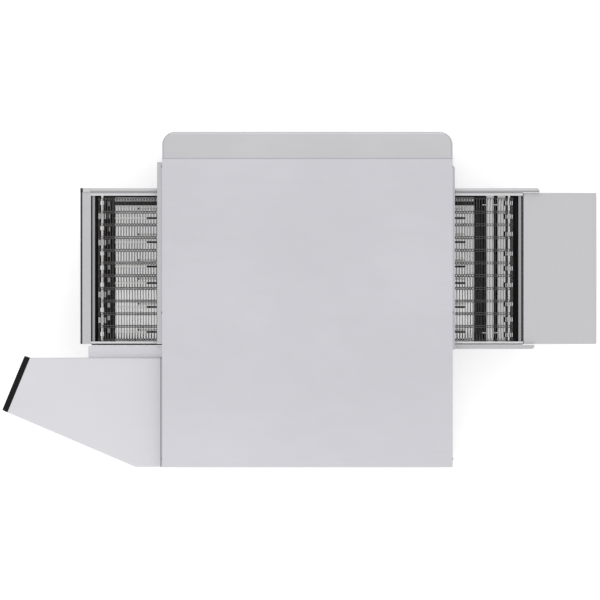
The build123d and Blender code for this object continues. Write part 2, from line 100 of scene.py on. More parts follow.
# Material graph
class Socket:
    """A float output of the graph; arithmetic on it adds Math nodes."""

    def __init__(self, graph, output):
        self.graph = graph
        self.output = output

    def math(self, operation, *others):
        inputs = dict(enumerate((self, *others)))
        return self.graph.node("ShaderNodeMath", {"operation": operation}, inputs)

    def __add__(self, other):
        return self.math("ADD", other)

    def __sub__(self, other):
        return self.math("SUBTRACT", other)

    def __mul__(self, other):
        return self.math("MULTIPLY", other)

    def __rsub__(self, other):
        return self * -1.0 + other

    __radd__ = __add__
    __rmul__ = __mul__

    def __lt__(self, limit):
        return self.math("LESS_THAN", limit)

    def __gt__(self, limit):
        return self.math("GREATER_THAN", limit)

    def __or__(self, other):
        """Where either of two masks holds."""
        return self.math("MAXIMUM", other)

    def __abs__(self):
        return self.math("ABSOLUTE")

    def __mod__(self, step):
        return self.math("FLOORED_MODULO", step)

    def __pow__(self, power):
        return self.math("POWER", power)


class Graph:
    """One material, with its Principled shader and a single way to add nodes."""

    MIDDLE_TONES = (0.35, 0.65)
    ROUNDING_SAMPLES = 4
    FLAT, WORN = 0.995, 0.80

    def __init__(self, name):
        self.material = bpy.data.materials.new(name)
        self.material.use_nodes = True
        self.tree = self.material.node_tree
        self.shader = self.tree.nodes["Principled BSDF"]
        self.place = self.node("ShaderNodeTexCoord", output="Object")

    def node(self, kind, settings=None, inputs=None, output=0):
        """Adds a node, from its settings and the values or links of its sockets."""
        node = self.tree.nodes.new(kind)
        for key, value in (settings or {}).items():
            setattr(node, key, value)
        for key, value in (inputs or {}).items():
            self.feed(node.inputs[key], value)
        return Socket(self, node.outputs[output])

    def feed(self, target, value):
        if isinstance(value, Socket):
            self.tree.links.new(value.output, target)
        else:
            target.default_value = value

    def set(self, **values):
        for key, value in values.items():
            self.feed(self.shader.inputs[key.replace("_", " ")], value)

    def axes(self):
        split = self.node("ShaderNodeSeparateXYZ", None, {"Vector": self.place})
        return [Socket(self, output) for output in split.output.node.outputs]

    def stretched(self, scale):
        return self.node("ShaderNodeMapping", None, {"Vector": self.place, "Scale": scale})

    def noise(self, scale, detail, place=None):
        inputs = {"Vector": place or self.place, "Scale": scale, "Detail": detail}
        return self.node("ShaderNodeTexNoise", None, inputs)

    def range(self, value, low, high, to_low=0.0, to_high=1.0):
        inputs = {
            "Value": value,
            "From Min": low,
            "From Max": high,
            "To Min": to_low,
            "To Max": to_high,
        }
        return self.node("ShaderNodeMapRange", {"clamp": True}, inputs)

    def mix(self, factor, first, second):
        inputs = {"Factor": factor, "A": first, "B": second}
        return self.node("ShaderNodeMix", {"data_type": "RGBA"}, inputs, output="Result")

    def bump(self, height, distance, strength, normal=None):
        inputs = {"Height": height, "Distance": distance, "Strength": strength}
        if normal is not None:
            inputs["Normal"] = normal
        return self.node("ShaderNodeBump", None, inputs)

    def facing(self):
        """How far a face looks up, from -1 to 1."""
        normal = self.node("ShaderNodeNewGeometry", output="Normal")
        return self.node("ShaderNodeSeparateXYZ", None, {"Vector": normal}, output="Z")

    def cover(self, factor, colour):
        """Lays another colour over the base colour, as far as the factor says."""
        base = Socket(self, self.shader.inputs["Base Color"].links[0].from_socket)
        self.set(Base_Color=self.mix(factor, base, colour))

    def blotched(self, tone, colour, blotch):
        """The colour, a little darker and a little lighter by turns."""
        light = self.range(tone, *self.MIDDLE_TONES)
        return self.mix(light, shade(colour, 1 - blotch), shade(colour, 1 + blotch))

    def rounded(self, radius):
        """The normal of a surface whose edges are rounded off."""
        return self.node("ShaderNodeBevel", {"samples": self.ROUNDING_SAMPLES}, {"Radius": radius})

    # The mask for painted highlights on rounded edges
    def edge_highlight(self, radius):
        """How much an edge within the radius turns the surface, from 0 on a flat to 1."""
        flat_normal = self.node("ShaderNodeNewGeometry", output="Normal")
        dot = self.node(
            "ShaderNodeVectorMath",
            {"operation": "DOT_PRODUCT"},
            {0: self.rounded(radius), 1: flat_normal},
            output="Value",
        )
        return self.range(dot, self.FLAT, self.WORN)


def shade(colour, factor):
    return tuple(min(1.0, c * factor) for c in colour[:3]) + (1.0,)


def linear(red, green, blue):
    """A colour read as 0 to 255 display values, as the shader wants it."""
    display = Color((red / 255, green / 255, blue / 255))
    return (*display.from_srgb_to_scene_linear(), 1.0)


# Finishes
NOISE_MIDDLE = 0.5
GRAIN_SCALES = {"x": (3, 900, 900), "y": (900, 3, 900), "z": (900, 900, 3)}
GRAIN_TONES = (0.3, 0.7)
GRAIN_DEPTH = 0.5
GRAIN_SHADE = 0.955
GRAIN_RELIEF = 0.02 * MM
GRAIN_ROUGHNESS = 0.10
SMEAR_SCALE = (1, 2.2, 1.5)
SMEAR_SHARE = 0.3
SMEAR_ROUGHNESS = 0.06
# Painted highlight on rounded steel edges
WORN_STEEL_SHADE = 1.25
WORN_STEEL_DEPTH = 0.5
WORN_STEEL_REACH = 1.6 * MM
STEEL_EDGE_RADIUS = 0.9 * MM


def brushed_steel(name, colour, grain="x", roughness=0.36, blotch=0.03, edge=1.0, metallic=1.0):
    """Sheet with fine lines along its grain, broad smears and a painted highlight on its edges."""
    graph = Graph(name)
    lines = graph.noise(scale=1.0, detail=4.0, place=graph.stretched(GRAIN_SCALES[grain]))
    broad = graph.noise(scale=2.3, detail=2.0)
    smears = graph.noise(scale=9.0, detail=4.0, place=graph.stretched(SMEAR_SCALE))
    base = graph.blotched(broad * (1 - SMEAR_SHARE) + smears * SMEAR_SHARE, colour, blotch)
    brushed = graph.range(lines, *GRAIN_TONES) * GRAIN_DEPTH
    base = graph.mix(brushed, base, shade(colour, GRAIN_SHADE))
    highlight = graph.edge_highlight(WORN_STEEL_REACH) * (WORN_STEEL_DEPTH * edge)
    base = graph.mix(highlight, base, shade(colour, WORN_STEEL_SHADE))
    uneven = (lines - NOISE_MIDDLE) * GRAIN_ROUGHNESS + (smears - NOISE_MIDDLE) * SMEAR_ROUGHNESS
    rounded = graph.rounded(STEEL_EDGE_RADIUS)
    graph.set(
        Base_Color=base,
        Metallic=metallic,
        Roughness=roughness + uneven,
        Normal=graph.bump(lines, GRAIN_RELIEF, strength=0.35, normal=rounded),
    )
    return graph


# Painted highlight on the edges of plastic and coats
WORN_PLASTIC_SHADE = 1.6
WORN_PLASTIC_DEPTH = 0.35
WORN_PLASTIC_REACH = 1.2 * MM
PLASTIC_EDGE_RADIUS = 0.8 * MM
TEXTURE_RELIEF = 0.03 * MM
TEXTURE_ROUGHNESS = 0.12


def plain_finish(name, colour, roughness, texture=400.0, mirror=0.5):
    """Moulded plastic or a thick coat, with a fine texture and a painted highlight on its edges.
    """
    graph = Graph(name)
    grain = graph.noise(scale=texture, detail=2.0)
    base = graph.blotched(graph.noise(scale=6.0, detail=2.0), colour, blotch=0.06)
    highlight = graph.edge_highlight(WORN_PLASTIC_REACH) * WORN_PLASTIC_DEPTH
    rounded = graph.rounded(PLASTIC_EDGE_RADIUS)
    graph.set(
        Base_Color=graph.mix(highlight, base, shade(colour, WORN_PLASTIC_SHADE)),
        Specular_IOR_Level=mirror,
        Roughness=roughness + (grain - NOISE_MIDDLE) * TEXTURE_ROUGHNESS,
        Normal=graph.bump(grain, TEXTURE_RELIEF, strength=0.5, normal=rounded),
    )
    return graph


# Painted shade where sheets meet their neighbours: a dark line at a place along an axis
SEAM_SHADE = 0.03
HOUSING_SEAM = {
    "axis": Y_AXIS,
    "place": body_low.y + 1.5 * MM,
    "half_width": 1.7 * MM,
    "depth": 0.3,
}
GUARD_SEAM = {
    "axis": Y_AXIS,
    "place": guard_high.y - 2.2 * MM,
    "half_width": 1.7 * MM,
    "depth": 0.45,
}
TRAY_SEAM = {"axis": X_AXIS, "place": tray_high.x, "half_width": 2.4 * MM, "depth": 0.97}


def seam_shadow_finish(name, colour, seam, grain="x", **looks):
    """Brushed sheet with painted shade in a dark line along its seam."""
    graph = brushed_steel(name, colour, grain, **looks)
    line = abs(graph.axes()[seam["axis"]] - seam["place"]) < seam["half_width"]
    graph.cover(line * seam["depth"], shade(colour, SEAM_SHADE))
    return graph


STREAK_SCALE = (150, 5, 1)
STREAK_TONES = (0.48, 0.62)
STREAK_DEPTH = 0.6
STREAK_SHADE = 3.0
# Painted reflection of the infeed wheels in the pan
SPOT_PAST_SHAFT = 22 * MM
SPOT_PAST_COLUMN = 15 * MM
SPOT_HALF = Vector((5 * MM, 8 * MM))
SPOT_TONES = (0.3, 0.5)
SPOT_FACING = 0.5


# The pan's dark colour is painted shade under the belt
def pan_finish(name, colour, wheel_reflection):
    """Dark pan with streaks across it, and a painted reflection beside the infeed wheels in each
    space.
    """
    graph = brushed_steel(name, colour, roughness=0.6, blotch=0.25, edge=0.3)
    x, y, _ = graph.axes()
    streaks = graph.noise(scale=1.0, detail=2.0, place=graph.stretched(STREAK_SCALE))
    streaked = graph.range(streaks, *STREAK_TONES) * STREAK_DEPTH
    graph.cover(streaked, shade(colour, STREAK_SHADE))
    beside = abs(x - infeed_shaft_x + SPOT_PAST_SHAFT) < SPOT_HALF.x
    level = abs((y - first_column_y) % column_step - SPOT_PAST_COLUMN) < SPOT_HALF.y
    lit = beside * level * (graph.facing() > SPOT_FACING)
    graph.cover(lit * graph.range(streaks, *SPOT_TONES), wheel_reflection)
    return graph


# Painted shade in a dark line beside the housing
BOX_LINE_PAST_HOUSING = 5.4 * MM
BOX_LINE_HALF = 1.2 * MM
BOX_LINE_DEPTH = 0.6
GASKET_WIDTH = 2.2 * MM
GASKET_BLACK = (0.006, 0.006, 0.007, 1)


def box_finish(name, colour):
    """Light coat, painted shade in a line beside the housing, a dark gasket behind the bezel."""
    graph = brushed_steel(name, colour, roughness=0.45, blotch=0.015, metallic=0.6)
    x, y, _ = graph.axes()
    line = abs(x - box_low.x - BOX_LINE_PAST_HOUSING) < BOX_LINE_HALF
    graph.cover(line * BOX_LINE_DEPTH, shade(colour, SEAM_SHADE))
    ahead = (x - face_front.x) * face_normal.x + (y - face_front.y) * face_normal.y
    graph.cover(ahead > -GASKET_WIDTH, GASKET_BLACK)
    return graph


PANEL_REACH = 3 * MM
UNLIT = (0.012, 0.012, 0.012, 1)


def core_finish(name, colour):
    """Chamber walls in warm sheet; the faces behind the outer panels stay in the dark."""
    graph = brushed_steel(name, colour, roughness=0.5, blotch=0.12, edge=0.3)
    x, y, _ = graph.axes()
    ends = (x > body_high.x - PANEL_REACH) | (x < body_low.x + PANEL_REACH)
    behind = ends | (y > body_high.y - PANEL_REACH)
    graph.cover(behind, UNLIT)
    graph.set(Metallic=1.0 - behind)
    return graph


DARK_PAST_INFEED = 56 * MM
DARK_PAST_EXIT = 47 * MM
UPPER_ROD_RISE = 6 * MM
ROD_TIP = 4 * MM


def rod_finish(name, colour, dark_rod):
    """Steel rods, darker inside the oven and a little way out of its mouths."""
    graph = brushed_steel(name, colour, roughness=0.3, blotch=0.08)
    x, _, z = graph.axes()
    upper = z > return_z + UPPER_ROD_RISE
    inside = (x < body_high.x + DARK_PAST_INFEED) * (x > body_low.x - DARK_PAST_EXIT)
    tip = abs(x - rod_high.x) < ROD_TIP
    graph.cover((inside * upper) | (tip * (1.0 - upper)) | (x > crumb_high.x), dark_rod)
    return graph


SHAFT_FLAT_FACING = 0.9


def shaft_finish(name, colour, shaded_sides):
    """Six-sided bar, bright on its upper flat, with painted shade on the sloping ones."""
    graph = brushed_steel(name, colour, "y", roughness=0.24, blotch=0.05)
    graph.cover(graph.facing() < SHAFT_FLAT_FACING, shaded_sides)
    return graph


UPRIGHT_FACING = 0.04
ROUNDING_DEPTH = 0.9


def rounding_finish(name, colour, flat, steep, dark):
    """Sheet or turned steel with painted shade where it rounds over from its top to its sides."""
    graph = brushed_steel(name, colour, "y", roughness=0.28)
    facing = graph.facing()
    rounding = graph.range(facing, flat, steep) * (facing > UPRIGHT_FACING)
    graph.cover(rounding * ROUNDING_DEPTH, dark)
    return graph


JET_RADIUS = 5.5 * MM
JET_STEP = 25 * MM
JET_SHIFT_Y = 3 * MM
JET_RIM_RADIUS = 1.15 * JET_RADIUS
JET_RIM_WIDTH = 1.2 * MM
JET_RIM_RELIEF = 0.8 * MM
JET_FACING = 0.8
JET_BLACK = (0.004, 0.004, 0.004, 1)


def jet_finish(name, colour):
    """Aluminised sheet with rows of round air jets on the faces toward the belt, painted black as
    shade.
    """
    graph = brushed_steel(name, colour, "y", roughness=0.5, blotch=0.10, edge=0.4)
    x, y, _ = graph.axes()
    flat = abs(graph.facing()) > JET_FACING
    across = x % JET_STEP - JET_STEP / 2
    along = (y + JET_SHIFT_Y) % JET_STEP - JET_STEP / 2
    distance = (across * across + along * along) ** 0.5
    jet = (distance < JET_RADIUS) * flat
    rim = graph.range(abs(distance - JET_RIM_RADIUS), 0.0, JET_RIM_WIDTH, 1.0, 0.0) * flat
    graph.cover(jet, JET_BLACK)
    graph.set(Metallic=1.0 - jet, Normal=graph.bump(rim, JET_RIM_RELIEF, strength=0.6))
    return graph


GLASS_DARK = (0.010, 0.010, 0.012, 1)
GLASS_PALE = (0.022, 0.021, 0.024, 1)
GLASS_ROUGHNESS = 0.05
HAZE_ROUGHNESS = 0.05
SMUDGE_ROUGHNESS = 0.02
SMUDGE_RELIEF = 0.01 * MM
GLASS_EDGE_RADIUS = 1.2 * MM


def glass_finish(name):
    """Black glass with a faint haze on it."""
    graph = Graph(name)
    haze = graph.noise(scale=14.0, detail=3.0)
    smudges = graph.noise(scale=180.0, detail=2.0)
    rounded = graph.rounded(GLASS_EDGE_RADIUS)
    graph.set(
        Base_Color=graph.mix(haze, GLASS_DARK, GLASS_PALE),
        Roughness=GLASS_ROUGHNESS + haze * HAZE_ROUGHNESS + smudges * SMUDGE_ROUGHNESS,
        Normal=graph.bump(smudges, SMUDGE_RELIEF, strength=0.1, normal=rounded),
        Coat_Weight=0.6,
    )
    return graph


BODY = linear(219, 218, 224)
HOOD = linear(207, 207, 210)
SHEET = linear(206, 206, 208)
NOSE_ROUNDING = {"flat": 0.995, "steep": 0.96, "dark": linear(22, 22, 24)}
WHEEL_ROUNDING = {"flat": 0.8, "steep": 0.5, "dark": linear(86, 83, 81)}
HOUSING_LOOKS = {"roughness": 0.42, "blotch": 0.035}
finishes = {
    "cover": seam_shadow_finish("cover_steel", BODY, HOUSING_SEAM, **HOUSING_LOOKS),
    "panel": brushed_steel("panel_steel", BODY, "z"),
    "rear": brushed_steel("rear_steel", BODY),
    "hood": seam_shadow_finish("hood_steel", HOOD, HOUSING_SEAM, **HOUSING_LOOKS),
    "core": core_finish("chamber_steel", linear(150, 146, 142)),
    "jets": jet_finish("jet_steel", linear(160, 156, 150)),
    "glass": glass_finish("window_glass"),
    # Lighter than the housing steel: painted light against the body's shade
    "rail": brushed_steel("rail_steel", linear(228, 228, 230), roughness=0.28),
    "bar": brushed_steel("bar_steel", linear(170, 170, 172), "y"),
    "slide": brushed_steel("slide_steel", SHEET, "y", roughness=0.33),
    "guard": seam_shadow_finish("guard_steel", SHEET, GUARD_SEAM, roughness=0.30),
    "nose": rounding_finish("nose_steel", SHEET, **NOSE_ROUNDING),
    "sleeve": brushed_steel("sleeve_steel", linear(217, 217, 219), "y", roughness=0.3),
    "collar": brushed_steel(
        "collar_steel", linear(209, 208, 213), "y", roughness=0.26, blotch=0.06
    ),
    "tray": seam_shadow_finish(
        "tray_steel", linear(213, 212, 215), TRAY_SEAM, "y", roughness=0.40, blotch=0.02
    ),
    # Lighter than the housing steel: painted light against the control box's shade
    "drive": brushed_steel("drive_steel", linear(229, 228, 234), roughness=0.26, blotch=0.02),
    "crumb": brushed_steel("crumb_steel", linear(234, 234, 235), "y", roughness=0.13, blotch=0.05),
    "wire": brushed_steel(
        "wire_steel", linear(116, 114, 112), "y", roughness=0.42, blotch=0.08, metallic=0.7
    ),
    "shaft": shaft_finish("shaft_steel", linear(243, 243, 244), linear(74, 66, 63)),
    "wheel": rounding_finish("wheel_steel", linear(240, 240, 241), **WHEEL_ROUNDING),
    "rod": rod_finish("rod_steel", linear(216, 214, 211), linear(40, 38, 37)),
    "dark": brushed_steel("carrier_steel", linear(70, 68, 66), "y", roughness=0.5, blotch=0.2),
    # Painted shade as the pan's dark colour, and a painted reflection of the wheels
    "pan": pan_finish("pan_steel", linear(44, 43, 44), linear(232, 232, 233)),
    "lip": brushed_steel("lip_steel", linear(234, 234, 236), "y"),
    "bearing": plain_finish("bearing_plastic", linear(40, 40, 41), roughness=0.45),
    "cap": plain_finish("cap_plastic", linear(16, 16, 17), roughness=0.4),
    "box": box_finish("box_steel", linear(228, 227, 231)),
    "bezel": plain_finish("bezel_plastic", linear(24, 24, 26), roughness=0.42, mirror=0.15),
    "screen": glass_finish("screen_glass"),
    "key": plain_finish("key_plastic", linear(62, 62, 65), roughness=0.5, mirror=0.3),
    "foot": plain_finish("foot_coat", linear(46, 46, 47), roughness=0.5, texture=700),
    "bolt": brushed_steel("bolt_steel", linear(120, 120, 123), "y", roughness=0.3),
}

painted_nodes = {
    "cover": ["top_cover"],
    "panel": ["infeed_side_panel", "exit_side_panel"],
    "rear": ["rear_panel"],
    "hood": ["front_hood"],
    "core": ["lower_housing", "upper_housing", "front_wall", "rear_compartment"],
    "jets": ["upper_air_fingers", "lower_air_fingers"],
    "glass": ["front_window"],
    "rail": ["front_side_rail", "rear_side_rail"],
    "bar": ["cross_bars"],
    "slide": ["belt_slider", "exit_plate"],
    "guard": ["front_guard", "exit_rear_guard"],
    "nose": ["infeed_nose"],
    "collar": ["infeed_baffle", "exit_baffle"],
    "tray": ["exit_tray"],
    "drive": ["drive_cover"],
    "crumb": ["infeed_crumb_tray", "exit_crumb_tray"],
    "shaft": ["infeed_shaft", "exit_shaft"],
    "wheel": ["infeed_sprockets", "exit_sprockets", "infeed_discs"],
    "rod": ["upper_belt_rods", "lower_belt_rods"],
    "dark": ["rod_carriers"],
    "pan": ["bottom_pans"],
    "bearing": ["shaft_bearings"],
    "cap": ["guard_end_cap"],
    "box": ["control_box"],
    "bezel": ["control_bezel", "control_panel"],
    "foot": ["feet"],
    "wire": [
        "belt_top_run",
        "belt_return_run",
        "belt_links",
        "belt_infeed_bend",
        "belt_exit_bend",
    ],
}
for finish, nodes in painted_nodes.items():
    for node in nodes:
        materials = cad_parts[node].data.materials
        materials.clear()
        materials.append(finishes[finish].material)


# Making pieces
def add_object(name, data):
    item = bpy.data.objects.new(name, data)
    bpy.context.scene.collection.objects.link(item)
    return item


def mesh_object(name, mesh, material):
    data = bpy.data.meshes.new(name)
    mesh.to_mesh(data)
    mesh.free()
    data.materials.append(material)
    return add_object(name, data)


def new_piece(name, mesh, finish):
    bmesh.ops.recalc_face_normals(mesh, faces=mesh.faces)
    piece = mesh_object(name, mesh, finishes[finish].material)
    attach(piece, "root")
    return piece


def smooth(piece, angle):
    """Shades the piece smooth, but for edges sharper than the angle in degrees."""
    piece.data.shade_smooth()
    piece.data.set_sharp_from_angle(angle=math.radians(angle))


def only(kind, items):
    return [item for item in items if isinstance(item, kind)]


def edges_at(verts):
    """The edges that meet the vertices, each once and always in the same order."""
    return list(dict.fromkeys(edge for vert in verts for edge in vert.link_edges))


def round_edges(mesh, edges, offset, segments):
    bmesh.ops.bevel(
        mesh,
        geom=edges,
        offset=offset,
        segments=segments,
        affect="EDGES",
        profile=0.5,
        material=-1,
    )


def standing(place, direction):
    """The matrix that puts a shape at the place, with its Z axis along the direction."""
    turn = Vector(direction).to_track_quat("Z", "Y").to_matrix().to_4x4()
    return Matrix.Translation(place) @ turn


def wire_path(mesh, points, radius, sides=5):
    """A closed-end wire swept through the points."""
    points = [Vector(point) for point in points]
    headings = [(after - before).normalized() for before, after in zip(points, points[1:])]
    headings.append(headings[-1])
    start = standing(points[0], headings[0])
    made = bmesh.ops.create_circle(
        mesh, cap_ends=False, segments=sides, radius=radius, matrix=start
    )
    ring = edges_at(made["verts"])
    bmesh.ops.contextual_create(mesh, geom=ring)
    square_to = headings[0]
    for before, after, arriving, leaving in zip(points, points[1:], headings, headings[1:]):
        grown = bmesh.ops.extrude_edge_only(mesh, edges=ring)["geom"]
        verts = only(bmesh.types.BMVert, grown)
        ring = only(bmesh.types.BMEdge, grown)
        bmesh.ops.translate(mesh, verts=verts, vec=after - before)
        ahead = (arriving + leaving).normalized()
        bend = square_to.rotation_difference(ahead)
        bmesh.ops.rotate(mesh, verts=verts, cent=after, matrix=bend.to_matrix())
        square_to = ahead
    bmesh.ops.contextual_create(mesh, geom=ring)


# The wire belt
HOOK_HALF = 2.4 * MM
HOOK_SPREAD = 3.8 * MM
HOOK_PAST = 2.0 * MM
HOOK_LIFT = 1.6 * MM
HOOK_CROSS = 0.3 * MM
EDGE_LEAVES = 0.15 * pitch
EDGE_ARRIVES = 0.8 * pitch
EDGE_CURL = 0.9 * HOOK_PAST
EDGE_LIFT = 0.2 * HOOK_LIFT
EDGE_INNER = 3.0 * MM
SKEW_REAR_Y = 30 * MM
SKEW_FRONT_Y = -110 * MM


def hook(y, side=1):
    """Half a hook: out of the strand's line, over the wire behind it and down past it."""
    return [
        (0, y - side * HOOK_HALF, 0),
        (HOOK_CROSS - pitch, y - side * HOOK_SPREAD, HOOK_LIFT),
        (-pitch - HOOK_PAST, y - side * HOOK_SPREAD, 0),
    ]


def edge_loop(y, outward):
    """The strand's end, slanting out to the belt's edge and curling round its neighbour."""
    edge = y + outward * (EDGE_OUT - WIRE / 2)
    return [
        (-EDGE_LEAVES, y - outward * HOOK_HALF, 0),
        (-EDGE_ARRIVES, edge, EDGE_LIFT),
        (-pitch - HOOK_PAST, edge, HOOK_LIFT),
        (-pitch - EDGE_CURL, y - outward * EDGE_INNER, EDGE_LIFT),
    ]


def share_between(value, start, end):
    """How far the value has come from the start to the end, from 0 to 1."""
    return min(max((value - start) / (end - start), 0.0), 1.0)


def lag(y):
    """The share of the skew at a place across the belt, eased at both ends."""
    share = share_between(y, SKEW_REAR_Y, SKEW_FRONT_Y)
    return share * share * (3 - 2 * share)


def strand(turn, skew=0.0):
    """One cross wire, bent at every column into a hook round the wire behind it.

    The skew is how far its front half stays behind its rear half.
    """
    points = edge_loop(column_y[0], -1)[::-1]
    for y in column_y[1:-1]:
        points += hook(y) + hook(y, -1)[::-1]
    points += edge_loop(column_y[-1], 1)
    mesh = bmesh.new()
    wire_path(mesh, [(x - skew * lag(y), y, z) for x, y, z in points], WIRE / 2)
    bmesh.ops.transform(mesh, matrix=turn, verts=mesh.verts)
    return mesh


def strand_turn(place, heading):
    """Where a strand goes, from its place on the loop and the loop's direction there."""
    return Matrix.Translation(place) @ Matrix.Rotation(-math.atan2(heading.z, heading.x), 4, "Y")


def belt_piece(name, mesh, *nodes):
    piece = new_piece(name, mesh, "wire")
    smooth(piece, angle=50)
    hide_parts(*nodes)
    return piece


def straight_strands(name, start, step, count, *nodes, skew=0.0):
    """Strands in a row, from the first one's place and the step to the next."""
    piece = belt_piece(name, strand(strand_turn(start, step), skew), *nodes)
    array = piece.modifiers.new("strands", "ARRAY")
    array.count = count
    array.use_relative_offset = False
    array.use_constant_offset = True
    array.constant_offset_displace = step


def wheel_strands(name, shaft_x, run_end, node):
    """The strands round a wheel, from the first one past the angle where a run ends."""
    centre = Vector((shaft_x, 0, wheel_z))
    count = WHEEL_TEETH // 2
    angle = run_end - TOOTH_ANGLE
    link_angle = angle + TOOTH_ANGLE / 2
    radial = Vector((math.cos(angle), 0, math.sin(angle)))
    heading = Vector((math.sin(link_angle), 0, -math.cos(link_angle)))
    mesh = strand(strand_turn(centre + radial * wheel_radius, heading))
    bmesh.ops.spin(
        mesh,
        geom=mesh.verts[:] + mesh.edges[:] + mesh.faces[:],
        cent=centre,
        axis=(0, 1, 0),
        angle=TOOTH_ANGLE * (count - 1),
        steps=count - 1,
        use_duplicate=True,
    )
    belt_piece(name, mesh, node)


# The return run is slack: it hangs a little beside each wheel, and its front half lags
SAGS = [
    (infeed_shaft_x, rod_high.x, 11 * MM),
    (rod_low.x, exit_shaft_x, 14 * MM),
]
SLACK = pitch
SKEW = 0.32 * pitch
SKEW_LINKS = 6


def return_strand(i):
    """The place, heading and skew of one strand, counted from the infeed wheel."""
    x = infeed_shaft_x - pitch * i
    late = share_between(x, rod_low.x, exit_shaft_x - SLACK)
    skew = SKEW * (share_between(i, 0, SKEW_LINKS) - late)
    x += SLACK * late
    for start, end, sag in SAGS:
        if end <= x <= start:
            share = (start - x) / (start - end)
            place = Vector((x, 0, return_z - 4 * sag * share * (1 - share)))
            return place, Vector((end - start, 0, -4 * sag * (1 - 2 * share))), skew
    return Vector((x, 0, return_z)), Vector((-1, 0, 0)), skew


def hanging_strands(name, strands, *nodes):
    mesh = bmesh.new()
    for place, heading, skew in strands:
        part = strand(strand_turn(place, heading), skew)
        data = bpy.data.meshes.new("strand")
        part.to_mesh(data)
        part.free()
        mesh.from_mesh(data)
        bpy.data.meshes.remove(data)
    belt_piece(name, mesh, *nodes)


link = Vector((pitch, 0, 0))
top_start = Vector((exit_shaft_x, 0, wire_z)) + link
straight_strands("belt_top_strands", top_start, link, RUN_LINKS, "belt_top_run", "belt_links")
wheel_strands("belt_infeed_strands", infeed_shaft_x, math.radians(90), "belt_infeed_bend")
wheel_strands("belt_exit_strands", exit_shaft_x, math.radians(-90), "belt_exit_bend")
returning = [return_strand(i + 1) for i in range(RUN_LINKS + 1)]
resting = [made for made in returning if rod_low.x < made[0].x < rod_high.x]
hanging = [made for made in returning if made not in resting]
rest_start, _, rest_skew = resting[0]
straight_strands(
    "belt_return_strands", rest_start, -link, len(resting), "belt_return_run", skew=rest_skew
)
hanging_strands("belt_hanging_strands", hanging, "belt_return_run")


# Fasteners
BOLT_SIDES = 18
HEAD_RINGS = ((1.0, 0.45), (0.86, 0.85), (0.6, 1.0), (0.45, 1.0))
SOCKET_DEPTH = 0.5


def drawn_out(mesh, face, step):
    """The face that ends up a step away from the one it is drawn out of."""
    grown = bmesh.ops.extrude_discrete_faces(mesh, faces=[face])["faces"][0]
    bmesh.ops.translate(mesh, verts=grown.verts, vec=step)
    return grown


def bolt(mesh, place, outward, radius, height):
    """A button head with a round socket, standing on a face at the place.

    Its rings give the head's radius and level as shares of the whole.
    """
    start = standing(place, outward)
    made = bmesh.ops.create_circle(
        mesh, cap_ends=True, segments=BOLT_SIDES, radius=radius, matrix=start
    )
    face = made["verts"][0].link_faces[0]
    rise = Vector(outward) * height
    size, level = 1.0, 0.0
    for wide, high in HEAD_RINGS:
        face = drawn_out(mesh, face, rise * (high - level))
        scale = (wide / size, wide / size, 1)
        bmesh.ops.scale(mesh, verts=face.verts, vec=scale, space=start.inverted())
        size, level = wide, high
    drawn_out(mesh, face, -rise * SOCKET_DEPTH)


def bolts(name, places, outward, radius, height):
    mesh = bmesh.new()
    for place in places:
        bolt(mesh, place, outward, radius, height)
    smooth(new_piece(name, mesh, "bolt"), angle=35)


RAIL_BOLTS = 4
RAIL_BOLT_FIRST = 29 * MM
RAIL_BOLT_STEP = 18 * MM
RAIL_BOLT_DROP = 26 * MM
rail_bolt_x = [infeed_shaft_x + RAIL_BOLT_FIRST - RAIL_BOLT_STEP * i for i in range(RAIL_BOLTS)]
bolts(
    "rear_rail_bolts",
    [(x, rear_rail_high.y, rear_rail_high.z - RAIL_BOLT_DROP) for x in rail_bolt_x],
    outward=(0, 1, 0),
    radius=3.6 * MM,
    height=2.2 * MM,
)

PANEL_BOLT_IN = 30 * MM
PANEL_BOLT_DROP = 24 * MM
PANEL_BOLT_LOW_Z = 84 * MM
panel_bolt_y = [
    body_low.y + PANEL_BOLT_IN,
    (body_low.y + body_high.y) / 2,
    body_high.y - PANEL_BOLT_IN,
]
panel_bolt_z = [PANEL_BOLT_LOW_Z, body_high.z - PANEL_BOLT_DROP]
for name, side_x, outward in (
    ("infeed_panel_bolts", body_high.x, (1, 0, 0)),
    ("exit_panel_bolts", body_low.x, (-1, 0, 0)),
):
    bolts(
        name,
        [(side_x, y, z) for y in panel_bolt_y for z in panel_bolt_z],
        outward,
        radius=4.5 * MM,
        height=2.4 * MM,
    )


# Pins through the slider's two ends
PIN_OUT = 11 * MM
PIN_DROP = 5 * MM
PIN_RADIUS = 2.4 * MM
PIN_SIDES = 12
FRONT_PIN_IN = 19.4 * MM
REAR_PIN_IN = 22.5 * MM
pin_z = slider_high.z - PIN_DROP
pins = bmesh.new()
for pin_y in (first_column_y + FRONT_PIN_IN, last_column_y - REAR_PIN_IN):
    ends = [(slider_low.x - PIN_OUT, pin_y, pin_z), (slider_high.x + PIN_OUT, pin_y, pin_z)]
    wire_path(pins, ends, PIN_RADIUS, PIN_SIDES)
smooth(new_piece("slider_pins", pins, "shaft"), angle=40)


# Thin sheet trim
SUNK = 0.2 * MM


def block(mesh, low, high):
    """A block between two corners. Gives its edges."""
    low, high = Vector(low), Vector(high)
    verts = bmesh.ops.create_cube(mesh, size=1.0)["verts"]
    bmesh.ops.scale(mesh, verts=verts, vec=high - low)
    bmesh.ops.translate(mesh, verts=verts, vec=(low + high) / 2)
    return edges_at(verts)


def trim(name, finish, boxes, bevel=0.3 * MM):
    mesh = bmesh.new()
    for low, high in boxes:
        round_edges(mesh, block(mesh, low, high), bevel, segments=1)
    new_piece(name, mesh, finish)


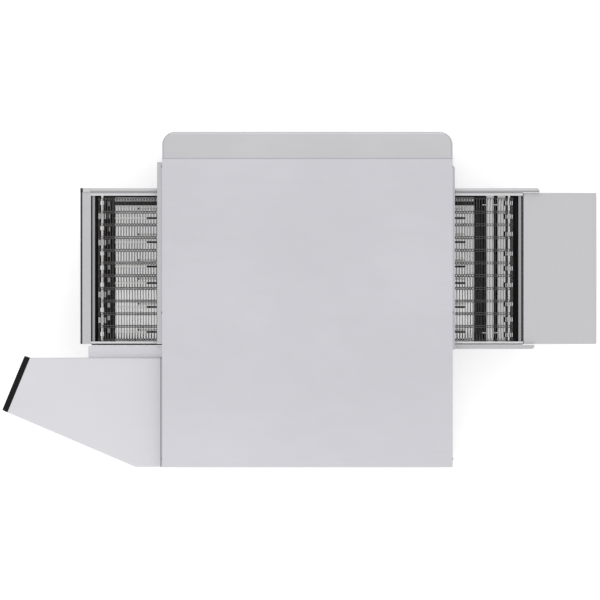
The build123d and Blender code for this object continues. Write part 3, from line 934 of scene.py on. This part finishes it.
# The tray's hem, along its end and its front edge
HEM = 9 * MM
HEM_RISE = 0.5 * MM
HEM_IN = 1.2 * MM
HEM_IN_BESIDE_OVEN = 1 * MM
hem_low_z = tray_high.z - SUNK
hem_high_z = tray_high.z + HEM_RISE
trim(
    "tray_hem",
    "tray",
    [
        (
            (tray_low.x + HEM_IN, tray_low.y + HEM_IN, hem_low_z),
            (tray_low.x + HEM, tray_high.y - HEM_IN, hem_high_z),
        ),
        (
            (tray_low.x + HEM, tray_low.y + HEM_IN, hem_low_z),
            (tray_high.x - HEM_IN_BESIDE_OVEN, tray_low.y + HEM, hem_high_z),
        ),
    ],
)

# The sleeve round the front guard's infeed end
SLEEVE = 0.7 * MM
SLEEVE_LENGTH = 26 * MM
SLEEVE_END_IN = 0.4 * MM
SLEEVE_REAR_IN = 1 * MM
SLEEVE_RISE = 4 * MM
sleeve_low = (guard_high.x - SLEEVE_LENGTH, guard_low.y - SLEEVE, guard_low.z + SLEEVE_RISE)
sleeve_high = (
    guard_high.x - SLEEVE_END_IN,
    guard_high.y - SLEEVE_REAR_IN,
    guard_high.z + SLEEVE,
)
trim("guard_sleeve", "sleeve", [(sleeve_low, sleeve_high)], bevel=0.6 * MM)

# The crumb trays' front lips, past the dark slot beside each tray
LIP_SLOT = 14 * MM
LIP_FRONT = 1.2 * MM
trim(
    "crumb_tray_lips",
    "lip",
    [
        ((low.x, run_low.y - LIP_FRONT, low.z), (high.x, low.y - LIP_SLOT, high.z))
        for low, high in ((crumb_low, crumb_high), (exit_crumb_low, exit_crumb_high))
    ],
)

# The bottom pan's dark rim at the exit, painted shade under the gap beside the tray
RIM = 4 * MM
RIM_HEIGHT = 18 * MM
RIM_IN = 0.4 * MM
RIM_SUNK = 0.1 * MM
rim_low = (pan_low.x + RIM_IN, pan_low.y + RIM_IN, pan_high.z - RIM_SUNK)
rim_high = (pan_low.x + RIM, pan_high.y - RIM_IN, pan_high.z + RIM_HEIGHT)
trim("bottom_pan_rim", "bearing", [(rim_low, rim_high)])

# A dark strip along the rear rail, wider at the infeed: painted shade beside the rail
SHADOW_STRIP_INFEED = 3.6 * MM
SHADOW_STRIP_EXIT = 1.2 * MM
SHADOW_STRIP_END_IN = 2 * MM
SHADOW_STRIP_DROPS = (14 * MM, 8 * MM)
shadow_strip_low_z, shadow_strip_high_z = (rear_rail_high.z - drop for drop in SHADOW_STRIP_DROPS)
trim(
    "rear_rail_shadow_strip",
    "cap",
    [
        (
            (low_x, rear_rail_high.y - SUNK, shadow_strip_low_z),
            (high_x, rear_rail_high.y + wide, shadow_strip_high_z),
        )
        for low_x, high_x, wide in (
            (body_high.x, rear_rail_high.x - SHADOW_STRIP_END_IN, SHADOW_STRIP_INFEED),
            (rear_rail_low.x + SHADOW_STRIP_END_IN, body_low.x, SHADOW_STRIP_EXIT),
        )
    ],
)


# The control box's lid
LID_IN = 4 * MM
LID_IN_REAR_X = 1.4 * LID_IN
LID_IN_REAR = 0.4 * LID_IN
LID_SUNK = 0.5 * MM
LID_RISE = 0.9 * MM
LID_EDGE = 0.35 * MM
lid_corners = [
    (box_low.x + LID_IN, box_low.y + LID_IN),
    (face_front.x - LID_IN, face_front.y + LID_IN),
    (face_rear.x - LID_IN_REAR_X, face_rear.y - LID_IN_REAR),
    (box_rear_x - LID_IN_REAR, box_high.y - LID_IN),
    (box_low.x + LID_IN, box_high.y - LID_IN),
]
lid = bmesh.new()
lid_face = lid.faces.new([lid.verts.new((x, y, box_high.z - LID_SUNK)) for x, y in lid_corners])
lid_grown = bmesh.ops.extrude_face_region(lid, geom=[lid_face])["geom"]
lid_top = only(bmesh.types.BMVert, lid_grown)
bmesh.ops.translate(lid, verts=lid_top, vec=UP * (LID_SUNK + LID_RISE))
bmesh.ops.recalc_face_normals(lid, faces=lid.faces)
round_edges(lid, lid.edges[:], LID_EDGE, segments=2)
new_piece("box_lid", lid, "box")


# What the black panel on the slanting face carries
PANEL_CORNER_SEGMENTS = 5
face_along = face_run.normalized()
face_middle = face_front + face_run / 2 + face_normal * panel_proud
face_middle.z = (panel_low.z + panel_high.z) / 2
face_matrix = Matrix(
    (
        (face_along.x, 0, face_normal.x, face_middle.x),
        (face_along.y, 0, face_normal.y, face_middle.y),
        (0, 1, 0, face_middle.z),
        (0, 0, 0, 1),
    )
)


def panel_piece(name, finish, places, size, thickness, corner):
    """Raised rounded plates on the panel, from their middles across and up it."""
    mesh = bmesh.new()
    width, height = size
    for across, up in places:
        low = (across - width / 2, up - height / 2, -SUNK)
        high = (across + width / 2, up + height / 2, thickness - SUNK)
        upright = [
            edge
            for edge in block(mesh, low, high)
            if abs(edge.verts[0].co.z - edge.verts[1].co.z) > thickness / 2
        ]
        round_edges(mesh, upright, corner, PANEL_CORNER_SEGMENTS)
    bmesh.ops.transform(mesh, matrix=face_matrix, verts=mesh.verts)
    new_piece(name, mesh, finish)


DISPLAY_UP = 50 * MM
KEY_COLUMNS, KEY_ROWS = 4, 2
KEY_STEP = 36 * MM
KEY_ROW_STEP = 38 * MM
KEYS_UP = -40 * MM
keys_left = -KEY_STEP * (KEY_COLUMNS - 1) / 2
panel_piece(
    "panel_display",
    "screen",
    [(0, DISPLAY_UP)],
    size=(150 * MM, 84 * MM),
    thickness=0.9 * MM,
    corner=5 * MM,
)
panel_piece(
    "panel_keys",
    "key",
    [
        (keys_left + KEY_STEP * column, KEYS_UP - KEY_ROW_STEP * row)
        for column in range(KEY_COLUMNS)
        for row in range(KEY_ROWS)
    ],
    size=(24 * MM, 20 * MM),
    thickness=1.4 * MM,
    corner=6 * MM,
)


# Floor, light and camera
FLOOR_HALF = 40
FLOOR_DARK = (0.80, 0.80, 0.80, 1)
FLOOR_PALE = (0.82, 0.82, 0.82, 1)
FLOOR_GLOW = 0.55
WHITE = (1, 1, 1, 1)


def floor_finish():
    """Pale floor that the camera and mirrors see as white, with the object's shadow on it."""
    graph = Graph("floor_paint")
    graph.tree.nodes.remove(graph.shader)
    mottle = graph.mix(graph.noise(scale=0.7, detail=2.0), FLOOR_DARK, FLOOR_PALE)
    pale = graph.node("ShaderNodeBsdfDiffuse", None, {"Color": mottle})
    glow = graph.node("ShaderNodeEmission", None, {"Color": WHITE, "Strength": FLOOR_GLOW})
    lit = graph.node("ShaderNodeAddShader", None, {0: pale, 1: glow})
    camera_ray = graph.node("ShaderNodeLightPath", output="Is Camera Ray")
    rays = camera_ray.output.node.outputs
    glossy_ray = Socket(graph, rays["Is Glossy Ray"])
    glass_ray = Socket(graph, rays["Is Transmission Ray"])
    seen = camera_ray | glossy_ray | glass_ray
    both = graph.node("ShaderNodeMixShader", None, {0: seen, 1: pale, 2: lit})
    graph.feed(graph.tree.nodes["Material Output"].inputs["Surface"], both)
    return graph


floor_mesh = bmesh.new()
bmesh.ops.create_grid(floor_mesh, x_segments=1, y_segments=1, size=FLOOR_HALF)
floor = mesh_object("floor", floor_mesh, floor_finish().material)


# The sky's strength, from the horizon to overhead
SKY_STRENGTH = (0.42, 0.86)
SKY_HEIGHTS = (-0.05, 0.85)


def world_light():
    world = bpy.data.worlds.new("studio")
    bpy.context.scene.world = world
    world.use_nodes = True
    nodes, links = world.node_tree.nodes, world.node_tree.links
    background = nodes["Background"].inputs
    background["Color"].default_value = WHITE
    direction = nodes.new("ShaderNodeTexCoord")
    height = nodes.new("ShaderNodeSeparateXYZ")
    ramp = nodes.new("ShaderNodeMapRange")
    ramp.interpolation_type = "SMOOTHSTEP"
    for name, value in zip(("From Min", "From Max"), SKY_HEIGHTS):
        ramp.inputs[name].default_value = value
    for name, value in zip(("To Min", "To Max"), SKY_STRENGTH):
        ramp.inputs[name].default_value = value
    links.new(direction.outputs["Generated"], height.inputs["Vector"])
    links.new(height.outputs["Z"], ramp.inputs["Value"])
    links.new(ramp.outputs["Result"], background["Strength"])


def lamp(name, place, target, size, power):
    """A round lamp of a size across, in metres, that looks at its target."""
    light = bpy.data.lights.new(name, "AREA")
    light.shape = "DISK"
    light.size = size
    light.energy = power
    holder = add_object(name, light)
    holder.location = place
    aim = Vector(target) - Vector(place)
    holder.rotation_euler = aim.to_track_quat("-Z", "Y").to_euler()


world_light()
lamp("key_lamp", place=(-0.2, -2.8, 3.2), target=(0, 0, 0.3), size=2.2, power=11)
lamp("fill_lamp", place=(0.8, 2.2, 2.6), target=(0, 0.3, 0.3), size=2.5, power=13)

PIXEL = 3.57 * MM
IMAGE_PIXELS = 600
IMAGE_MIDDLE_X = -0.45 * PIXEL
IMAGE_MIDDLE_Y = 0.5 * PIXEL
LOOK_HEIGHT = 0.36
LENS = 1500.0
SENSOR = 36.0
NEAREST, FARTHEST = 0.1, 1000


def top_camera():
    """The camera far above the oven, with the photograph's top at its front."""
    data = bpy.data.cameras.new("camera")
    data.lens = LENS
    data.sensor_width = SENSOR
    data.clip_start = NEAREST
    data.clip_end = FARTHEST
    camera = add_object("camera", data)
    distance = IMAGE_PIXELS * PIXEL * LENS / SENSOR
    camera.location = (IMAGE_MIDDLE_X, IMAGE_MIDDLE_Y, LOOK_HEIGHT + distance)
    camera.rotation_euler = (0, 0, math.pi)
    bpy.context.scene.camera = camera


top_camera()
bpy.context.scene.view_settings.view_transform = "Standard"
